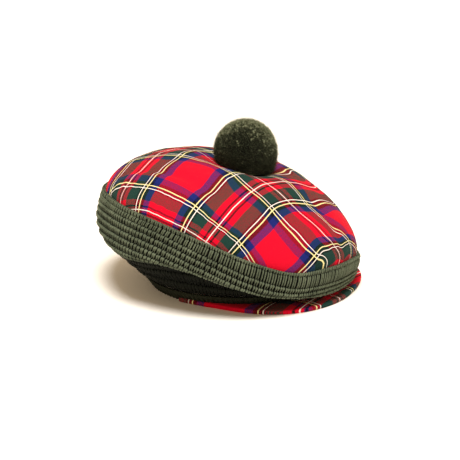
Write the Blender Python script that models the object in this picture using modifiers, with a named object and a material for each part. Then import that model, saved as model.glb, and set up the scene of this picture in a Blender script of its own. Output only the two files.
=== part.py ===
# A soft tartan cap: domed crown, knitted side, ribbed head band, covered peak and pompom.
# Sizes are in metres and angles in degrees. +Z is up, and the peak points along -Y.
# The origin is the middle of the head opening, on the surface that the cap rests on.
# A bearing is an angle round the cap: 0 over the peak, 90 toward +X and 180 at the back.

from math import cos, pi, radians, sin, sqrt

import bmesh
import bpy
import numpy as np
from mathutils import Matrix, Vector

# Cloth and fit
PIECE_GAP = 0.0003
KNIT_WALL = 0.0035
CLOTH_WALL = 0.0016

# Head band, a short flared ring of ribbed knit
HEAD_OPENING = 0.175
BAND_HEIGHT = 0.012
BAND_FLARE = 0.009
RIB_COUNT = 60
RIB_RELIEF = 0.0005

# Crown: how far its seam stands out from the head band, its level, its shift and its lean
CROWN_OVERHANG = 0.0458
CROWN_LEVEL = 0.0697
CROWN_SHIFT_X = -0.0086
CROWN_SHIFT_Y = 0.0030
CROWN_LEAN = 12.3
LEAN_BEARING = 42.4

# Tartan top: its rise, how square its shoulder is, the dimple round the pompom and its gathers
DOME_RISE = 0.0662
SHOULDER_POWER = 1.78
SHOULDER_EDGE = 0.54
DIMPLE_DEPTH = 0.0198
DIMPLE_RADIUS = 0.0349
SEAM_TUCK = 0.0030
TUCK_POWER = 6.0
GATHER_COUNT = 15
GATHER_DEPTH = 0.0012

# Knitted side: its seam's waves, its bulge, its rounded fold and its rows
SEAM_WAVE = 0.0100
SIDE_BULGE = 0.0018
FOLD_ROUND = 0.0045
FOLD_CLEARANCE = 0.0010
ROW_PITCH = 0.0070
ROW_RELIEF = 0.0010
KNIT_ROWS = 12
TRUE_ROWS = 5

# Peak, a cloth-covered board
PEAK_DEPTH = 0.0365
PEAK_SPREAD = 88.0
PEAK_WALL = 0.0045
PEAK_TIP = 0.0016
PEAK_CAMBER = 0.0020
PEAK_EDGE = 0.0012

# Pompom: a wool ball of short locks
POMPOM_DIAMETER = 0.0668
POMPOM_SINK = 0.0078
LOCK_COUNT = 88
LOCK_HEIGHT = 0.0028
LOCK_ROOT = 0.0012
LOCK_WIDTH = 0.0098
LOCK_TIP = 0.0064

# Facets round the crown, the band and the peak
BEARINGS = 60
BAND_FACETS = 2 * RIB_COUNT
PEAK_FACETS = 32

HEAD_RADIUS = HEAD_OPENING / 2 + KNIT_WALL
BAND_TOP_RADIUS = HEAD_RADIUS + BAND_FLARE
CROWN_RADIUS = HEAD_RADIUS + CROWN_OVERHANG
PEAK_TOP = PEAK_WALL + PEAK_CAMBER
UP = np.array((0.0, 0.0, 1.0))

# The crown's sections. reach: the seam's reach as a share of CROWN_RADIUS. lift: its wave as
# a share of SEAM_WAVE. fold: the fold's height as a share of the seam's height over the peak.
# under: 0 where the underside runs straight down to the band, 1 where it runs level first.
SECTION_COLUMNS = ("bearing", "reach", "lift", "fold", "under")
SECTIONS = np.array((
    (0, 1.012, -0.60, 0.13, 0.74),
    (20, 1.019, -0.36, 0.08, 0.63),
    (40, 1.027, -1.00, 0.08, 0.54),
    (60, 1.008, -1.00, 0.13, 0.50),
    (80, 1.004, -0.31, 0.25, 0.50),
    (100, 1.005, 0.30, 0.37, 0.50),
    (120, 1.004, 0.15, 0.46, 0.50),
    (140, 1.002, 0.00, 0.50, 0.44),
    (160, 1.002, 0.08, 0.52, 0.38),
    (180, 1.004, 0.22, 0.55, 0.29),
    (200, 1.003, 0.12, 0.60, 0.13),
    (220, 0.996, 0.21, 0.64, -0.04),
    (240, 0.981, 0.53, 0.54, -0.05),
    (260, 0.992, 0.86, 0.49, 0.13),
    (280, 0.996, 0.90, 0.54, 0.38),
    (300, 1.001, 0.38, 0.54, 0.64),
    (320, 1.001, -0.55, 0.43, 0.82),
    (340, 1.002, -1.18, 0.30, 0.80),
))

# The side wall below the seam: bulge as a share of SIDE_BULGE, drop as a share of the wall
WALL = (
    dict(bulge=0.00, drop=0.00),
    dict(bulge=0.95, drop=0.28),
    dict(bulge=0.90, drop=0.62),
    dict(bulge=0.10, drop=0.88),
)

# Soft creases in the top. share: place along the crown's radius. heading: the bearing that it
# runs along. long and wide: half lengths as shares of CROWN_RADIUS. height: share of DOME_RISE.
CREASES = (
    dict(bearing=252, share=0.82, heading=5, long=0.22, wide=0.05, height=0.030),
    dict(bearing=262, share=0.71, heading=8, long=0.30, wide=0.05, height=-0.035),
    dict(bearing=294, share=0.71, heading=30, long=0.16, wide=0.05, height=-0.028),
    dict(bearing=297, share=0.55, heading=35, long=0.14, wide=0.05, height=0.024),
    dict(bearing=8, share=0.80, heading=12, long=0.26, wide=0.04, height=-0.032),
    dict(bearing=150, share=0.62, heading=60, long=0.30, wide=0.06, height=-0.030),
)

# The peak's outline: depth as a share of PEAK_DEPTH, at shares of PEAK_SPREAD round from the middle
PEAK_AT = (-1.0, -0.80, -0.68, -0.56, -0.40, -0.29, -0.18, 0.0, 0.18, 0.28, 0.41, 0.55, 0.68, 0.82, 0.93, 1.0)
PEAK_OUT = (0.0, 0.02, 0.12, 0.35, 0.65, 0.79, 0.84, 0.86, 0.83, 0.84, 0.90, 0.98, 0.92, 0.58, 0.20, 0.0)

# Rings inside the knitted side, and rings of the top as shares of its radius
INNER_RINGS = 7
TOP_SHARES = (0.09, 0.18, 0.27, 0.36, 0.45, 0.54, 0.63, 0.72, 0.80, 0.88, 0.95, 1.0)
SEAT_RINGS = 6


def out(bearing):
    """The level direction of a bearing."""
    angle = np.radians(bearing)
    return np.stack((np.sin(angle), -np.cos(angle), np.zeros_like(angle)), axis=-1)


def spline(before, start, end, after, t):
    """A point between start and end on a smooth curve through all four."""
    return 0.5 * (
        2 * start + (end - before) * t
        + (2 * before - 5 * start + 4 * end - after) * t ** 2
        + (3 * start - before - 3 * end + after) * t ** 3
    )


def section_value(bearing, column):
    """A column of SECTIONS, smoothed round the cap."""
    values = SECTIONS[:, SECTION_COLUMNS.index(column)]
    count = len(values)
    place = np.mod(bearing, 360.0) / (360.0 / count)
    row = np.floor(place).astype(int)
    corners = [values[(row + step) % count] for step in (-1, 0, 1, 2)]
    return spline(*corners, place - row)


def lean(vectors):
    """Tips upright directions over to the crown's lean."""
    axis = np.cross(UP, out(np.array(LEAN_BEARING)))
    angle = radians(CROWN_LEAN)
    along = (vectors @ axis)[..., None] * axis
    return vectors * cos(angle) + np.cross(axis, vectors) * sin(angle) + along * (1 - cos(angle))


def crown_point(bearing, reach, height):
    """A point given by its reach from the crown's middle and its height over the seam's plane."""
    level = out(bearing) * np.asarray(reach)[..., None]
    raised = np.asarray(height)[..., None] * UP
    return lean(level + raised) + np.array((CROWN_SHIFT_X, CROWN_SHIFT_Y, CROWN_LEVEL))


def seam(bearing):
    """The reach and height of the knitted side's upper edge."""
    return CROWN_RADIUS * section_value(bearing, "reach"), SEAM_WAVE * section_value(bearing, "lift")


def crease_height(bearing, share):
    """How far the soft creases raise or sink the top there."""
    place = out(bearing) * np.asarray(share)[..., None]
    total = np.zeros(np.shape(bearing))
    for crease in CREASES:
        offset = place - out(np.array(float(crease["bearing"]))) * crease["share"]
        along = offset @ out(np.array(float(crease["heading"])))
        across = offset @ out(np.array(crease["heading"] + 90.0))
        fade = np.exp(-(along / crease["long"]) ** 2 - (across / crease["wide"]) ** 2)
        total += crease["height"] * DOME_RISE * fade
    return total


def top_point(bearing, share):
    """A point on the tartan top: share 0 is its middle and 1 is where it meets the knit."""
    reach, lift = seam(bearing)
    rise = DOME_RISE * np.maximum(1 - share ** SHOULDER_POWER, 0) ** SHOULDER_EDGE
    dimple = DIMPLE_DEPTH * np.exp(-(share * CROWN_RADIUS / DIMPLE_RADIUS) ** 2)
    gather = GATHER_DEPTH * (1 - np.cos(np.radians(bearing * GATHER_COUNT))) / 2
    gather = gather * share ** 6 * (1 - share ** 30)
    height = rise - dimple - gather + lift * share ** 2 + crease_height(bearing, share)
    tuck = (KNIT_WALL + PIECE_GAP) * share ** TUCK_POWER
    return crown_point(bearing, reach * share - tuck, height)


def side_curve(bearing):
    """The knitted side from its seam down the wall, round the fold and in to the head band."""
    reach, lift = seam(bearing)
    seam_point = crown_point(bearing, reach, lift)
    lowest = PEAK_TOP + FOLD_CLEARANCE
    drop = (seam_point[..., 2] - lowest) * (1 - section_value(bearing, "fold")) / cos(radians(CROWN_LEAN))
    marks = [
        crown_point(bearing, reach + SIDE_BULGE * station["bulge"], lift - drop * station["drop"])
        for station in WALL
    ]
    fold = crown_point(bearing, reach - FOLD_ROUND, lift - drop)
    band = out(bearing) * BAND_TOP_RADIUS + UP * (BAND_HEIGHT + PIECE_GAP)
    level = section_value(bearing, "under")
    inward = (0.5 + 0.25 * level)[:, None]
    under = fold + (band - fold) * inward
    under[:, 2] = fold[:, 2] + (band[:, 2] - fold[:, 2]) * 0.5 * (1 - level)
    marks += [fold, under, band]
    marks = [2 * marks[0] - marks[1]] + marks + [2 * marks[-1] - marks[-2]]
    rings = []
    for i in range(1, len(marks) - 2):
        rings += [spline(*marks[i - 1:i + 3], t) for t in np.linspace(0, 1, 12, endpoint=False)]
    return np.array(rings + [band])


def along_curve(curve, distances):
    """Points on the curve at distances down from its start, one column for each bearing."""
    steps = np.linalg.norm(np.diff(curve, axis=0), axis=2)
    length = np.vstack((np.zeros(curve.shape[1]), np.cumsum(steps, axis=0)))
    places = distances(length[-1])
    points = np.empty(places.shape + (3,))
    for column in range(curve.shape[1]):
        for axis in range(3):
            points[:, column, axis] = np.interp(
                places[:, column], length[:, column], curve[:, column, axis]
            )
    return points


def row_places(total):
    """Half rows of knitting: true to the pitch below the seam, then shared out to the band."""
    halves = np.arange(2 * KNIT_ROWS + 1)[:, None]
    true_halves = 2 * TRUE_ROWS
    true_length = np.minimum(true_halves * ROW_PITCH / 2, total * 0.6)
    near = true_length * halves / true_halves
    far = true_length + (total - true_length) * (halves - true_halves) / (2 * KNIT_ROWS - true_halves)
    return np.where(halves <= true_halves, near, far)


def outward(grid):
    """Outward directions on a grid of rings that run down the outside of the cap."""
    down = np.gradient(grid, axis=0)
    round_cap = np.roll(grid, -1, axis=1) - np.roll(grid, 1, axis=1)
    normal = np.cross(down, round_cap)
    return normal / np.linalg.norm(normal, axis=2)[..., None]


def new_mesh(points, faces, name):
    mesh = bpy.data.meshes.new(name)
    mesh.from_pydata([tuple(point) for point in points], [], faces)
    bm = bmesh.new()
    bm.from_mesh(mesh)
    bmesh.ops.recalc_face_normals(bm, faces=bm.faces)
    bm.to_mesh(mesh)
    bm.free()
    return mesh


def ring_mesh(loops, name):
    """A closed body from closed outlines, each a list of points, set side by side in a ring."""
    count, size = len(loops), len(loops[0])
    faces = [
        (i * size + j, i * size + (j + 1) % size,
         (i + 1) % count * size + (j + 1) % size, (i + 1) % count * size + j)
        for i in range(count) for j in range(size)
    ]
    return new_mesh([point for loop in loops for point in loop], faces, name)


def bar_mesh(loops, name):
    """A closed body from closed outlines set side by side, with both ends filled."""
    count, size = len(loops), len(loops[0])
    faces = [
        (i * size + j, i * size + (j + 1) % size, (i + 1) * size + (j + 1) % size, (i + 1) * size + j)
        for i in range(count - 1) for j in range(size)
    ]
    faces.append(tuple(range(size)))
    faces.append(tuple((count - 1) * size + j for j in reversed(range(size))))
    return new_mesh([point for loop in loops for point in loop], faces, name)


def material(name, colour, roughness):
    """A cloth finish in one colour."""
    finish = bpy.data.materials.new(name)
    finish.use_nodes = True
    shader = finish.node_tree.nodes["Principled BSDF"]
    shader.inputs["Base Color"].default_value = (*colour, 1.0)
    shader.inputs["Roughness"].default_value = roughness
    shader.inputs["Metallic"].default_value = 0.0
    return finish


def add_piece(name, mesh, finish, collection):
    piece = bpy.data.objects.new(name, mesh)
    mesh.materials.append(finish)
    mesh.shade_smooth()
    collection.objects.link(piece)
    return piece


def crown_top(finish, collection):
    """The tartan top: an open domed sheet with its edge tucked down behind the knit."""
    bearing = np.arange(BEARINGS) * 360.0 / BEARINGS
    rings = [top_point(bearing, np.full(BEARINGS, share)) for share in TOP_SHARES]
    rings.append(rings[-1] - lean(UP) * SEAM_TUCK)
    points = [top_point(np.array([0.0]), np.array([0.0]))[0]]
    points += [point for ring in rings for point in ring]
    faces = [(0, 1 + (j + 1) % BEARINGS, 1 + j) for j in range(BEARINGS)]
    for i in range(len(rings) - 1):
        for j in range(BEARINGS):
            k = (j + 1) % BEARINGS
            faces.append((1 + i * BEARINGS + j, 1 + i * BEARINGS + k,
                          1 + (i + 1) * BEARINGS + k, 1 + (i + 1) * BEARINGS + j))
    mesh = bpy.data.meshes.new("crown_top")
    mesh.from_pydata([tuple(point) for point in points], [], faces)
    bm = bmesh.new()
    bm.from_mesh(mesh)
    bmesh.ops.recalc_face_normals(bm, faces=bm.faces)
    bm.faces.ensure_lookup_table()
    if bm.faces[0].normal.z < 0:
        bmesh.ops.reverse_faces(bm, faces=bm.faces)
    bmesh.ops.triangulate(bm, faces=bm.faces, quad_method="FIXED")
    bm.to_mesh(mesh)
    bm.free()
    piece = add_piece("crown_top", mesh, finish, collection)
    cloth = piece.modifiers.new("cloth", "SOLIDIFY")
    cloth.thickness = CLOTH_WALL
    cloth.offset = -1.0
    return piece


def knit_side(finish, collection):
    """The knitted side: ridged rows outside, smooth inside, round the fold to the head band."""
    bearing = np.arange(BEARINGS) * 360.0 / BEARINGS
    curve = side_curve(bearing)
    outer = along_curve(curve, row_places)
    relief = ROW_RELIEF * (np.arange(len(outer)) % 2)
    relief[-3:] = 0.0
    ridged = outer + outward(outer) * relief[:, None, None]
    smooth = along_curve(curve, lambda total: total * np.linspace(0, 1, INNER_RINGS)[:, None])
    inner = smooth - outward(smooth) * KNIT_WALL
    reach, lift = seam(bearing)
    inner[0] = crown_point(bearing, reach - KNIT_WALL, lift)
    inner[-1] = out(bearing) * (BAND_TOP_RADIUS - KNIT_WALL) + UP * (BAND_HEIGHT + PIECE_GAP)
    loops = [list(ridged[:, j]) + list(inner[::-1, j]) for j in range(BEARINGS)]
    return add_piece("knit_side", ring_mesh(loops, "knit_side"), finish, collection)


def head_band(finish, collection):
    """The ribbed head band, flat where it rests and flared to meet the side."""
    loops = []
    for i in range(BAND_FACETS):
        direction = out(np.array(i * 360.0 / BAND_FACETS))
        rib = RIB_RELIEF * (i % 2)
        loops.append([
            direction * (HEAD_RADIUS + rib),
            direction * (BAND_TOP_RADIUS + rib) + UP * BAND_HEIGHT,
            direction * (BAND_TOP_RADIUS - KNIT_WALL) + UP * BAND_HEIGHT,
            direction * (HEAD_RADIUS - KNIT_WALL),
        ])
    return add_piece("head_band", ring_mesh(loops, "head_band"), finish, collection)


def peak(finish, collection):
    """The covered peak: a board of even thickness whose root leans with the band."""
    shares = np.linspace(-1, 1, PEAK_FACETS + 1)
    depths = np.interp(shares, PEAK_AT, PEAK_OUT)
    depths[1:-1] = (depths[:-2] + 2 * depths[1:-1] + depths[2:]) / 4
    slope = BAND_FLARE / BAND_HEIGHT
    loops = []
    for share, depth in zip(shares, depths):
        direction = out(np.array(share * PEAK_SPREAD))
        root = HEAD_RADIUS + RIB_RELIEF + PIECE_GAP
        root_top = root + slope * PEAK_WALL
        edge = root_top + PEAK_TIP + PEAK_DEPTH * depth
        camber = PEAK_CAMBER * depth
        outline = (
            (root, 0.0), ((root + edge) / 2, camber), (edge - PEAK_EDGE, 0.0),
            (edge, PEAK_WALL * 0.3), (edge, PEAK_WALL * 0.7), (edge - PEAK_EDGE, PEAK_WALL),
            ((root_top + edge) / 2, PEAK_WALL + camber), (root_top, PEAK_WALL),
        )
        loops.append([direction * reach + UP * height for reach, height in outline])
    return add_piece("peak", bar_mesh(loops, "peak"), finish, collection)


def add_cutter(name, mesh, collection):
    cutter = bpy.data.objects.new(name, mesh)
    cutter.hide_render = True
    cutter.display_type = "WIRE"
    collection.objects.link(cutter)
    return cutter


def pompom_locks(core_radius, place, collection):
    """Blunt locks spread evenly over the ball, all clear of each other, bare under the ball."""
    bm = bmesh.new()
    turn = pi * (3 - sqrt(5))
    for i in range(LOCK_COUNT):
        height = 1 - 2 * (i + 0.5) / LOCK_COUNT
        if height < -0.72:
            continue
        width = sqrt(1 - height ** 2)
        direction = Vector((width * cos(i * turn), width * sin(i * turn), height))
        tilt = direction.to_track_quat("Z", "Y").to_matrix().to_4x4()
        middle = direction * (core_radius + (LOCK_HEIGHT - LOCK_ROOT) / 2)
        bmesh.ops.create_cone(
            bm, cap_ends=True, segments=6, radius1=LOCK_WIDTH / 2, radius2=LOCK_TIP / 2,
            depth=LOCK_HEIGHT + LOCK_ROOT, matrix=place @ Matrix.Translation(middle) @ tilt,
        )
    mesh = bpy.data.meshes.new("pompom_locks")
    bm.to_mesh(mesh)
    bm.free()
    return add_cutter("pompom_locks", mesh, collection)


def pompom_seat(collection):
    """The hollow of the top under the pompom, raised by the gap and closed below."""
    bearing = np.arange(BEARINGS) * 360.0 / BEARINGS
    axis = lean(UP)
    rings = [top_point(bearing, np.full(BEARINGS, share)) for share in TOP_SHARES[:SEAT_RINGS]]
    rings = [ring + axis * 2 * PIECE_GAP for ring in rings]
    middle = top_point(np.array([0.0]), np.array([0.0]))[0] + axis * 2 * PIECE_GAP
    rings.append(rings[-1] - axis * POMPOM_DIAMETER)
    points = [middle] + [point for ring in rings for point in ring]
    count = len(rings)
    faces = [(0, 1 + (j + 1) % BEARINGS, 1 + j) for j in range(BEARINGS)]
    for i in range(count - 1):
        for j in range(BEARINGS):
            k = (j + 1) % BEARINGS
            faces.append((1 + i * BEARINGS + j, 1 + i * BEARINGS + k,
                          1 + (i + 1) * BEARINGS + k, 1 + (i + 1) * BEARINGS + j))
    faces.append(tuple(1 + (count - 1) * BEARINGS + j for j in range(BEARINGS)))
    return add_cutter("pompom_seat", new_mesh(points, faces, "pompom_seat"), collection)


def pompom(finish, collection, cutters):
    """The wool ball: a core with its locks joined on, shaped below to the hollow it sits in."""
    core_radius = POMPOM_DIAMETER / 2 - LOCK_HEIGHT
    axis = Vector(lean(UP))
    button = Vector(top_point(np.array([0.0]), np.array([0.0]))[0])
    middle = button + axis * (POMPOM_DIAMETER / 2 - POMPOM_SINK)
    place = Matrix.Translation(middle) @ axis.to_track_quat("Z", "Y").to_matrix().to_4x4()
    bm = bmesh.new()
    bmesh.ops.create_icosphere(bm, subdivisions=3, radius=core_radius, matrix=place)
    mesh = bpy.data.meshes.new("pompom")
    bm.to_mesh(mesh)
    bm.free()
    piece = add_piece("pompom", mesh, finish, collection)
    join = piece.modifiers.new("locks", "BOOLEAN")
    join.operation = "UNION"
    join.object = pompom_locks(core_radius, place, cutters)
    cut = piece.modifiers.new("seat", "BOOLEAN")
    cut.operation = "DIFFERENCE"
    cut.object = pompom_seat(cutters)
    return piece


def main():
    for existing in list(bpy.data.objects):
        bpy.data.objects.remove(existing)
    collection = bpy.data.collections.new("flat_cap")
    cutters = bpy.data.collections.new("cutters")
    bpy.context.scene.collection.children.link(collection)
    bpy.context.scene.collection.children.link(cutters)
    tartan = material("tartan_cloth", (0.60, 0.02, 0.05), 0.85)
    peak_cloth = material("peak_cloth", (0.35, 0.02, 0.04), 0.85)
    knit = material("olive_knit", (0.09, 0.10, 0.06), 0.92)
    rib = material("olive_rib", (0.05, 0.06, 0.04), 0.92)
    wool = material("olive_wool", (0.05, 0.06, 0.03), 0.95)
    crown_top(tartan, collection)
    knit_side(knit, collection)
    head_band(rib, collection)
    peak(peak_cloth, collection)
    pompom(wool, collection, cutters)


main()
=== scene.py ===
# %% [markdown]
# # A tartan cap with a knitted side
# The cap is soft: a round tartan top, a side knitted in olive wool that rolls under to a ribbed
# head band, a small peak covered in the same tartan, and a wool pompom. This lesson dresses its
# plain CAD model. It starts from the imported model, so each piece is made where the CAD has it.

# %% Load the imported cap
from math import cos, pi, radians, sin, sqrt

import bmesh
import bpy
import numpy as np
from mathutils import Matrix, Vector, noise


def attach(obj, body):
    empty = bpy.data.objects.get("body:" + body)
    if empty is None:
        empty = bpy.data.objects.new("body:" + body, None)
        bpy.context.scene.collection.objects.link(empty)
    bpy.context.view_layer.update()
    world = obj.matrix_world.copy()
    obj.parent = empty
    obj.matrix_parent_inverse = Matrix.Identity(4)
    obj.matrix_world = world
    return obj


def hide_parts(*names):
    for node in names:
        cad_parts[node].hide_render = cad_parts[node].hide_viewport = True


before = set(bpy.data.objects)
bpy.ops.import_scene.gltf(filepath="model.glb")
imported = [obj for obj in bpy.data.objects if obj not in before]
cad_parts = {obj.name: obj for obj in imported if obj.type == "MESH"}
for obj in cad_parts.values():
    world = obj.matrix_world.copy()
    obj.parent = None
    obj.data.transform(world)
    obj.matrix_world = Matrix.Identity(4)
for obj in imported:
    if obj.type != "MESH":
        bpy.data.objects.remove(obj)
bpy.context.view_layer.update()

# %% [markdown]
# ## The camera
# A picture can only be compared with a photograph if it is taken from the same place. The cap is
# seen from 50 degrees to the left of its peak and from 18 degrees above the table, from about
# 1.5 m away, which is where someone stands to photograph a hat. Millimetres per pixel and the
# place of the head opening in the picture then give the lens and the aim.

# %% Set the camera
PICTURE = 460  # the photograph's width and height in pixels
MM_PER_PIXEL = 1.06
OPENING_AT = (238, 278.5)  # the pixel where the middle of the head opening meets the table
turn, rise, away = radians(-50), radians(18), 1.5
back = Vector((sin(turn) * cos(rise), -cos(turn) * cos(rise), sin(rise)))
right = Vector((cos(turn), sin(turn), 0))
above = back.cross(right)
pixel = MM_PER_PIXEL / 1000
aim = right * (PICTURE / 2 - OPENING_AT[0]) * pixel + above * (OPENING_AT[1] - PICTURE / 2) * pixel
camera = bpy.data.objects.new("camera", bpy.data.cameras.new("camera"))
camera.location = back * away
camera.rotation_euler = (camera.location - aim).to_track_quat("Z", "Y").to_euler()
camera.data.lens = camera.data.sensor_width * (camera.location - aim).length / (PICTURE * pixel)
bpy.context.scene.collection.objects.link(camera)
bpy.context.scene.camera = camera
print("lens in mm:", round(camera.data.lens, 1))

# %% [markdown]
# ## Helpers for finishes
# Colours are easy to read off a photograph as hex codes, but Blender's shaders add up light, so
# one function turns a code into linear light. One fills a node's inputs, and one adds each node of
# each finish with its inputs in one line. The last starts a finish. What is the same all over it
# is set on the shader's own sockets, where an export finds it.

# %% Colour and node helpers
def linear(code):
    """An sRGB hex code as linear light."""
    shares = [int(code[i:i + 2], 16) / 255 for i in (1, 3, 5)]
    return tuple(s / 12.92 if s <= 0.04045 else ((s + 0.055) / 1.055) ** 2.4 for s in shares) + (1.0,)


def fill(node, inputs):
    """Fills or links a node's inputs. They come as a list or by name: a value, a socket or a node."""
    for key, value in (inputs.items() if isinstance(inputs, dict) else enumerate(inputs)):
        if isinstance(value, bpy.types.Node):
            value = value.outputs[0]
        if isinstance(value, bpy.types.NodeSocket):
            node.id_data.links.new(value, node.inputs[key])
        else:
            node.inputs[key].default_value = value
    return node


def add_node(tree, kind, inputs=(), **settings):
    """Adds a node with its settings and its inputs."""
    made = tree.nodes.new(kind)
    for name, value in settings.items():
        setattr(made, name, value)
    return fill(made, inputs)


MATH, VECTOR_MATH, REMAP = "ShaderNodeMath", "ShaderNodeVectorMath", "ShaderNodeMapRange"
NOISE, MIX = "ShaderNodeTexNoise", "ShaderNodeMix"


def new_finish(name, looks):
    """A material, its node tree and its shader, whose own sockets are set from looks."""
    finish = bpy.data.materials.new(name)
    finish.use_nodes = True
    tree = finish.node_tree
    return finish, tree, fill(tree.nodes["Principled BSDF"], looks)


print("middle grey in linear light:", round(linear("#808080")[0], 3))

# %% [markdown]
# ## The table and the light
# The photograph was taken on white paper under a large soft light. A wide matt plane stands for
# the paper, which isn't part of the cap. One broad sun lamp overhead lights it evenly as far as
# the camera sees, like a ceiling of soft boxes. A warm world stands for what the room gives back,
# and tints the shadows.

# %% Lay the paper
def mesh_object(name, points, faces, finish, smooth=True):
    """A mesh object with one finish. It prints how many faces the object has."""
    mesh = bpy.data.meshes.new(name)
    mesh.from_pydata(np.asarray(points).tolist(), [], faces)
    mesh.materials.append(finish)
    if smooth:
        mesh.shade_smooth()
    made = bpy.data.objects.new(name, mesh)
    bpy.context.scene.collection.objects.link(made)
    print(name, "faces:", len(faces))
    return made


# Paper is pressed fibre: matt, and warm and cool by turns in flecks that are too fine to count
paper, tree, shader = new_finish("matt_paper", {"Roughness": 0.9, "Specular IOR Level": 0.2})
flecks = add_node(tree, NOISE, {"Scale": 400.0, "Detail": 4.0})
tint = add_node(tree, MIX, {0: flecks, 6: linear("#F4F2EF"), 7: linear("#F8F7F5")}, data_type="RGBA")
fill(shader, {"Base Color": tint.outputs[2]})
HALF_TABLE = 40.0  # m, so wide that its edge lies close to the horizon
corners = [(x * HALF_TABLE, y * HALF_TABLE, 0.0) for x, y in ((-1, -1), (1, -1), (1, 1), (-1, 1))]
table = mesh_object("paper_table", corners, [(0, 1, 2, 3)], paper, smooth=False)

# %% Light it
lamp = bpy.data.lights.new("soft_ceiling", "SUN")
lamp.energy = 3.7
lamp.angle = radians(24)  # a wide lamp, so shadows fade softly
lamp.color = linear("#FFFCF8")[:3]
ceiling = bpy.data.objects.new("soft_ceiling", lamp)
ceiling.rotation_euler = Vector((-0.32, -0.26, 1.0)).to_track_quat("Z", "Y").to_euler()
bpy.context.scene.collection.objects.link(ceiling)
world = bpy.data.worlds.new("studio")
bpy.context.scene.world = world
world.use_nodes = True
room = world.node_tree.nodes["Background"]
room.inputs["Color"].default_value = linear("#FFE3BC")
room.inputs["Strength"].default_value = 0.80
bpy.context.scene.view_settings.view_transform = "Standard"
print("lamp in W/m2:", lamp.energy)

# %% [markdown]
# ## The cap's form in numbers
# A hatter keeps a paper pattern. Here the pattern is a table: round the cap, how far the seam
# reaches out, how high it waves, how deep the side folds under and how level the underside runs.
# The same table made the CAD model, so pieces that follow it fit. A smooth curve through its rows
# gives every bearing between them.

# %% The pattern's sizes
MM = 0.001
GAP, KNIT_WALL = 0.3 * MM, 3.5 * MM
HEAD_RADIUS, BAND_HEIGHT, BAND_FLARE = 91.0 * MM, 12.0 * MM, 9.0 * MM
CROWN_RADIUS, CROWN_MIDDLE = 136.8 * MM, np.array((-8.6, 3.0, 69.7)) * MM
CROWN_LEAN, LEAN_BEARING = 12.3, 42.4
DOME_RISE, SHOULDER_POWER, SHOULDER_EDGE = 66.2 * MM, 1.78, 0.54
DIMPLE_DEPTH, DIMPLE_RADIUS = 19.8 * MM, 34.9 * MM
SEAM_WAVE, SIDE_BULGE, FOLD_ROUND = 10.0 * MM, 0.8 * MM, 4.5 * MM
PEAK_TOP, FOLD_CLEARANCE = 6.5 * MM, 1.0 * MM
UP = np.array((0.0, 0.0, 1.0))

# Every 20 degrees from the peak: the seam's reach and its lift, the fold and the underside
REACH = (1.012, 1.019, 1.027, 1.008, 1.004, 1.005, 1.004, 1.002, 1.002,
         1.004, 1.003, 0.996, 0.981, 0.992, 0.996, 1.001, 1.001, 1.002)
LIFT = (-0.60, -0.36, -1.00, -1.00, -0.31, 0.30, 0.15, 0.00, 0.08,
        0.22, 0.12, 0.21, 0.53, 0.86, 0.90, 0.38, -0.55, -1.18)
FOLD = (0.13, 0.08, 0.08, 0.13, 0.25, 0.37, 0.46, 0.50, 0.52,
        0.55, 0.60, 0.64, 0.54, 0.49, 0.54, 0.54, 0.43, 0.30)
UNDER = (0.74, 0.63, 0.54, 0.50, 0.50, 0.50, 0.50, 0.44, 0.38,
         0.29, 0.13, -0.04, -0.05, 0.13, 0.38, 0.64, 0.82, 0.80)
print("seam length in mm:", round(2 * pi * CROWN_RADIUS * 1000))

# %% Curves through the pattern
def spline(before, start, end, after, t):
    """A point between start and end on a smooth curve through all four."""
    return 0.5 * (2 * start + (end - before) * t
                  + (2 * before - 5 * start + 4 * end - after) * t ** 2
                  + (3 * start - before - 3 * end + after) * t ** 3)


def around(values, bearing):
    """A row of the pattern at any bearing."""
    values = np.array(values)
    place = np.mod(bearing, 360.0) / (360.0 / len(values))
    row = np.floor(place).astype(int)
    return spline(*[values[(row + step) % len(values)] for step in (-1, 0, 1, 2)], place - row)


def norm(vectors):
    """The length of each vector."""
    return np.linalg.norm(vectors, axis=-1)


def unit(vectors):
    """The same directions, each of length 1."""
    return vectors / norm(vectors)[..., None]


def out(bearing):
    """The level direction of a bearing: 0 over the peak, 90 toward +X."""
    angle = np.radians(bearing)
    return np.stack((np.sin(angle), -np.cos(angle), np.zeros_like(angle)), axis=-1)


def bearings(count):
    """So many bearings, evenly spaced all round."""
    return np.arange(count) * 360.0 / count


def lean(vectors):
    """Tips upright directions over to the crown's lean."""
    axis, angle = np.cross(UP, out(LEAN_BEARING)), radians(CROWN_LEAN)
    along = (vectors @ axis)[..., None] * axis
    return vectors * cos(angle) + np.cross(axis, vectors) * sin(angle) + along * (1 - cos(angle))


def crown_point(bearing, reach, height):
    """A point by its reach from the crown's middle and its height over the seam's plane."""
    level = out(bearing) * np.asarray(reach)[..., None]
    return lean(level + np.asarray(height)[..., None] * UP) + CROWN_MIDDLE


def seam(bearing):
    """The reach and height of the knitted side's upper edge."""
    return CROWN_RADIUS * around(REACH, bearing), SEAM_WAVE * around(LIFT, bearing)


print("seam over the peak in mm:", np.round(crown_point(0.0, *seam(0.0)) * 1000, 1))

# %% [markdown]
# ## The tartan top as a surface
# The top is one round of cloth, sewn to the knit at its rim and pulled down in the middle by the
# pompom's thread. In a cloth simulation the folds would fall where they like. A formula for the
# height over the seam's plane puts the shoulder, the dimple and each soft crease where the
# photograph has them.

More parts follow.
